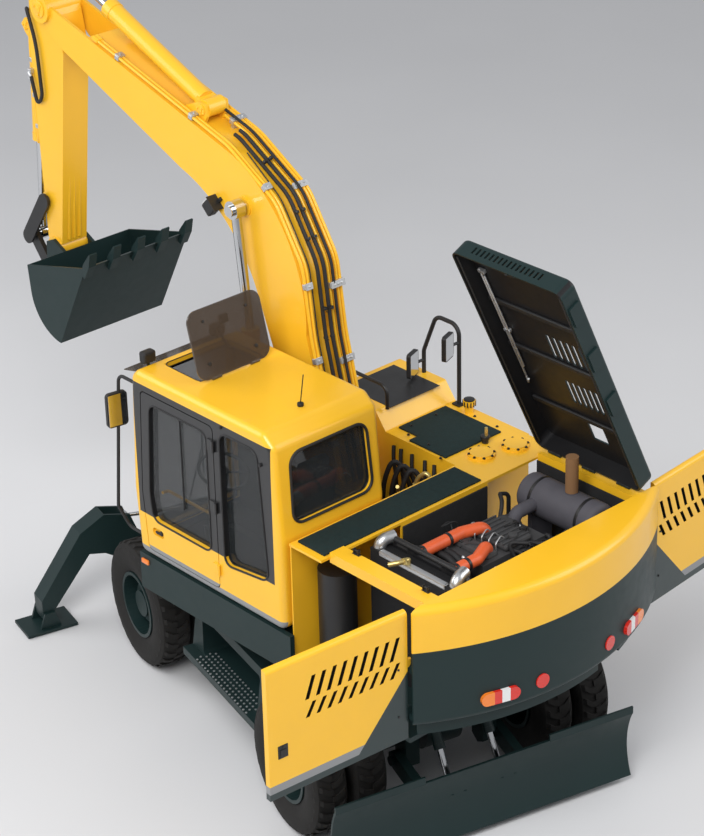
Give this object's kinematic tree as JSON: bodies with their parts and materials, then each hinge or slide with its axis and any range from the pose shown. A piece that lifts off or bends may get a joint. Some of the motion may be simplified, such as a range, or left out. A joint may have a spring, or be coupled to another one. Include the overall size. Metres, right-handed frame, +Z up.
{
  "type": "wheeled excavator",
  "caption": "Wheeled excavator with twin tyres, outriggers, dozer blade and curled bucket, with its engine hood, side doors and roof hatch open.",
  "frame": {"origin": "middle of the bounding box's bottom face, on the ground", "axes": "+X forward along the upper structure to the bucket, +Y to the machine's left, +Z up; the carriage stands turned 14 degrees clockwise under it"},
  "size_m": [6.2896, 4.8946, 5.4806],
  "materials": {
    "bare_aluminium": "satin",
    "black_paint": "satin",
    "black_plastic": "matte",
    "charge_hose": "matte",
    "chrome_rod": "polished",
    "clear_glass": "clear",
    "dark_green_paint": "satin",
    "grey_cast": "cast",
    "red_lens": "gloss",
    "rubber_tyre": "matte",
    "seat_fabric": "woven",
    "smoked_glass": "smoked",
    "yellow_paint": "satin"
  },
  "bodies": {
    "undercarriage": {"chassis": "dark_green_paint", "slew_ring": "grey_cast", "axles": "dark_green_paint", "step_boxes": "dark_green_paint"},
    "knuckle_left": {"knuckle_left": "dark_green_paint"},
    "wheels_front_left": {"tyres_front_left": "rubber_tyre", "rim_front_left": "dark_green_paint"},
    "wheels_rear_left": {"tyres_rear_left": "rubber_tyre", "rim_rear_left": "dark_green_paint"},
    "knuckle_right": {"knuckle_right": "dark_green_paint"},
    "wheels_front_right": {"tyres_front_right": "rubber_tyre", "rim_front_right": "dark_green_paint"},
    "wheels_rear_right": {"tyres_rear_right": "rubber_tyre", "rim_rear_right": "dark_green_paint"},
    "blade": {"dozer_blade": "dark_green_paint"},
    "blade_tubes": {"blade_cylinder_tubes": "dark_green_paint"},
    "blade_rods": {"blade_cylinder_rods": "chrome_rod"},
    "outrigger_left": {"outrigger_leg_left": "dark_green_paint"},
    "outrigger_pad_left": {"outrigger_pad_left": "dark_green_paint"},
    "outrigger_tube_left": {"outrigger_tube_left": "dark_green_paint"},
    "outrigger_rod_left": {"outrigger_rod_left": "chrome_rod"},
    "outrigger_right": {"outrigger_leg_right": "dark_green_paint"},
    "outrigger_pad_right": {"outrigger_pad_right": "dark_green_paint"},
    "outrigger_tube_right": {"outrigger_tube_right": "dark_green_paint"},
    "outrigger_rod_right": {"outrigger_rod_right": "chrome_rod"},
    "upperstructure": {"upper_frame": "dark_green_paint", "counterweight": "dark_green_paint", "rear_cowl": "yellow_paint", "side_skirts": "dark_green_paint", "bay_walls": "yellow_paint", "right_deck": "yellow_paint", "deck_mats": "dark_green_paint", "engine": "black_paint", "cooler_stack": "bare_aluminium", "silencer": "black_paint", "charge_hoses": "charge_hose", "air_cleaner": "black_plastic", "cab_shell": "yellow_paint", "cab_glass": "clear_glass", "operator_seat": "seat_fabric", "mirrors": "black_plastic", "tail_lamps": "red_lens"},
    "cab_door": {"cab_door": "yellow_paint", "cab_door_glass": "clear_glass"},
    "roof_hatch": {"roof_hatch": "smoked_glass"},
    "hood": {"hood": "dark_green_paint"},
    "side_door_left": {"side_door_left": "yellow_paint"},
    "side_door_right": {"side_door_right": "yellow_paint"},
    "boom": {"boom": "yellow_paint"},
    "boom_tubes": {"boom_cylinder_tubes": "yellow_paint"},
    "boom_rods": {"boom_cylinder_rods": "chrome_rod"},
    "arm": {"arm": "yellow_paint"},
    "arm_tube": {"arm_cylinder_tube": "yellow_paint"},
    "arm_rod": {"arm_cylinder_rod": "chrome_rod"},
    "bucket": {"bucket": "dark_green_paint"},
    "bucket_rocker": {"bucket_rocker": "black_paint"},
    "bucket_link": {"bucket_link": "black_paint"},
    "bucket_tube": {"bucket_cylinder_tube": "yellow_paint"},
    "bucket_rod": {"bucket_cylinder_rod": "chrome_rod"}
  },
  "joints": [
    {"name": "steer_left", "type": "hinge", "parent": "undercarriage", "child": "knuckle_left", "pos_m": [0.75041, 0.2228, 0.527], "axis": [0, 0, 1], "range_deg": [-25, 25]},
    {"name": "roll_front_left", "type": "hinge", "parent": "knuckle_left", "child": "wheels_front_left", "pos_m": [0.8375, 0.57211, 0.527], "axis": [0.2419, 0.9703, 0], "continuous": true},
    {"name": "roll_rear_left", "type": "hinge", "parent": "undercarriage", "child": "wheels_rear_left", "pos_m": [-1.68527, 1.2011, 0.527], "axis": [0.2419, 0.9703, 0], "continuous": true},
    {"name": "steer_right", "type": "hinge", "parent": "undercarriage", "child": "knuckle_right", "pos_m": [0.46494, -0.92215, 0.527], "axis": [0, 0, 1], "range_deg": [-25, 25]},
    {"name": "roll_front_right", "type": "hinge", "parent": "knuckle_right", "child": "wheels_front_right", "pos_m": [0.37785, -1.27146, 0.527], "axis": [0.2419, 0.9703, 0], "continuous": true},
    {"name": "roll_rear_right", "type": "hinge", "parent": "undercarriage", "child": "wheels_rear_right", "pos_m": [-2.14492, -0.64246, 0.527], "axis": [0.2419, 0.9703, 0], "continuous": true},
    {"name": "blade_lift", "type": "hinge", "parent": "undercarriage", "child": "blade", "pos_m": [-2.1043, 0.3265, 0.43], "axis": [0.2419, 0.9703, 0], "range_deg": [-12, 25]},
    {"name": "blade_tube_tilt", "type": "hinge", "parent": "undercarriage", "child": "blade_tubes", "pos_m": [-2.15767, 0.3398, 0.96], "axis": [0.2419, 0.9703, 0], "range_deg": [-4.15, 8.64]},
    {"name": "blade_rod_slide", "type": "slide", "parent": "blade_tubes", "child": "blade_rods", "axis": [-0.5143, 0.1282, -0.848], "range_m": [-0.14992, 0.07196]},
    {"name": "outrigger_swing_left", "type": "hinge", "parent": "undercarriage", "child": "outrigger_left", "pos_m": [1.67448, 0.20883, 0.42], "axis": [0.9703, -0.2419, 0], "range_deg": [-9, 55]},
    {"name": "outrigger_pad_tilt_left", "type": "hinge", "parent": "outrigger_left", "child": "outrigger_pad_left", "pos_m": [1.88737, 1.06269, 0.118], "axis": [0.9703, -0.2419, 0], "range_deg": [-15, 15]},
    {"name": "outrigger_tube_tilt_left", "type": "hinge", "parent": "undercarriage", "child": "outrigger_tube_left", "pos_m": [1.44329, -0.8672, 0.64], "axis": [0.9703, -0.2419, 0], "range_deg": [-0.1238, 0.501]},
    {"name": "outrigger_rod_slide_left", "type": "slide", "parent": "outrigger_tube_left", "child": "outrigger_rod_left", "axis": [0.2398, 0.9619, 0.1316], "range_m": [-0.36348, 0.05948]},
    {"name": "outrigger_swing_right", "type": "hinge", "parent": "undercarriage", "child": "outrigger_right", "pos_m": [1.2874, -1.34364, 0.42], "axis": [-0.9703, 0.2419, 0], "range_deg": [-9, 55]},
    {"name": "outrigger_pad_tilt_right", "type": "hinge", "parent": "outrigger_right", "child": "outrigger_pad_right", "pos_m": [1.07451, -2.1975, 0.118], "axis": [-0.9703, 0.2419, 0], "range_deg": [-15, 15]},
    {"name": "outrigger_tube_tilt_right", "type": "hinge", "parent": "undercarriage", "child": "outrigger_tube_right", "pos_m": [1.51859, -0.26761, 0.64], "axis": [-0.9703, 0.2419, 0], "range_deg": [-0.1238, 0.501]},
    {"name": "outrigger_rod_slide_right", "type": "slide", "parent": "outrigger_tube_right", "child": "outrigger_rod_right", "axis": [-0.2398, -0.9619, 0.1316], "range_m": [-0.36348, 0.05948]},
    {"name": "slew", "type": "hinge", "parent": "undercarriage", "child": "upperstructure", "pos_m": [-0.9448, 0.0374, 1.15], "axis": [0, 0, 1], "continuous": true},
    {"name": "cab_door_swing", "type": "hinge", "parent": "upperstructure", "child": "cab_door", "pos_m": [-0.7358, 1.2904, 2.2], "axis": [0, 0, 1], "range_deg": [0, 165]},
    {"name": "roof_hatch_lift", "type": "hinge", "parent": "upperstructure", "child": "roof_hatch", "pos_m": [-0.3848, 0.7574, 3.054], "axis": [0, -1, 0], "range_deg": [-75, 0]},
    {"name": "hood_lift", "type": "hinge", "parent": "upperstructure", "child": "hood", "pos_m": [-2.2448, -1.0026, 2.275], "axis": [1, 0, 0], "range_deg": [-64, 0]},
    {"name": "side_door_swing_left", "type": "hinge", "parent": "upperstructure", "child": "side_door_left", "pos_m": [-2.6998, 1.2549, 1.7], "axis": [0, 0, 1], "range_deg": [-85, 10]},
    {"name": "side_door_swing_right", "type": "hinge", "parent": "upperstructure", "child": "side_door_right", "pos_m": [-2.6998, -1.1801, 1.7], "axis": [0, 0, -1], "range_deg": [-85, 10]},
    {"name": "boom_lift", "type": "hinge", "parent": "upperstructure", "child": "boom", "pos_m": [-0.6448, -0.0626, 1.7], "axis": [0, -1, 0], "range_deg": [-74, 14]},
    {"name": "boom_tube_tilt", "type": "hinge", "parent": "upperstructure", "child": "boom_tubes", "pos_m": [-0.07088, -0.0626, 1.39484], "axis": [0, -1, 0], "range_deg": [-77.55, 14.68]},
    {"name": "boom_rod_slide", "type": "slide", "parent": "boom_tubes", "child": "boom_rods", "axis": [0.1165, 0, 0.9932], "range_m": [-0.73306, 0.13877]},
    {"name": "arm_reach", "type": "hinge", "parent": "boom", "child": "arm", "pos_m": [2.62488, -0.0626, 4.93562], "axis": [0, -1, 0], "range_deg": [-10, 105]},
    {"name": "arm_tube_tilt", "type": "hinge", "parent": "boom", "child": "arm_tube", "pos_m": [0.75966, -0.0626, 4.56], "axis": [0, -1, 0], "range_deg": [-0.077, 0.3335]},
    {"name": "arm_rod_slide", "type": "slide", "parent": "arm_tube", "child": "arm_rod", "axis": [0.9228, 0, 0.3853], "range_m": [-0.77749, 0.07414]},
    {"name": "bucket_curl", "type": "hinge", "parent": "arm", "child": "bucket", "pos_m": [2.75308, -0.0626, 2.83953], "axis": [0, -1, 0], "range_deg": [-15, 145]},
    {"name": "bucket_rocker_swing", "type": "hinge", "parent": "arm", "child": "bucket_rocker", "pos_m": [2.81849, -0.0626, 3.24428], "axis": [0, -1, 0], "range_deg": [-10.96, 105.86]},
    {"name": "bucket_link_swing", "type": "hinge", "parent": "bucket_rocker", "child": "bucket_link", "pos_m": [3.08277, -0.0626, 2.85469], "axis": [0, -1, 0], "range_deg": [-82.66, 8.56]},
    {"name": "bucket_tube_tilt", "type": "hinge", "parent": "arm", "child": "bucket_tube", "pos_m": [2.97013, -0.0626, 4.69625], "axis": [0, -1, 0], "range_deg": [-0.98, 9.44]},
    {"name": "bucket_rod_slide", "type": "slide", "parent": "bucket_tube", "child": "bucket_rod", "axis": [0.061, 0, -0.9981], "range_m": [-0.7087, 0.0734]}
  ],
  "couplings": [
    {"joint": "steer_right", "follows": "steer_left", "ratio": 1},
    {"joint": "blade_tube_tilt", "follows": "blade_lift", "ratio": 0.3455},
    {"joint": "blade_rod_slide", "follows": "blade_lift", "m_per_rad": -0.34358},
    {"joint": "outrigger_tube_tilt_left", "follows": "outrigger_swing_left", "ratio": 0.0082},
    {"joint": "outrigger_rod_slide_left", "follows": "outrigger_swing_left", "m_per_rad": -0.37865},
    {"joint": "outrigger_tube_tilt_right", "follows": "outrigger_swing_right", "ratio": 0.0082},
    {"joint": "outrigger_rod_slide_right", "follows": "outrigger_swing_right", "m_per_rad": -0.37865},
    {"joint": "boom_tube_tilt", "follows": "boom_lift", "ratio": 1.0479},
    {"joint": "boom_rod_slide", "follows": "boom_lift", "m_per_rad": 0.56751},
    {"joint": "arm_tube_tilt", "follows": "arm_reach", "ratio": 0.0027},
    {"joint": "arm_rod_slide", "follows": "arm_reach", "m_per_rad": -0.4242},
    {"joint": "bucket_rocker_swing", "follows": "bucket_curl", "ratio": 0.73},
    {"joint": "bucket_link_swing", "follows": "bucket_curl", "ratio": -0.57},
    {"joint": "bucket_tube_tilt", "follows": "bucket_curl", "ratio": 0.065},
    {"joint": "bucket_rod_slide", "follows": "bucket_curl", "m_per_rad": -0.28}
  ]
}
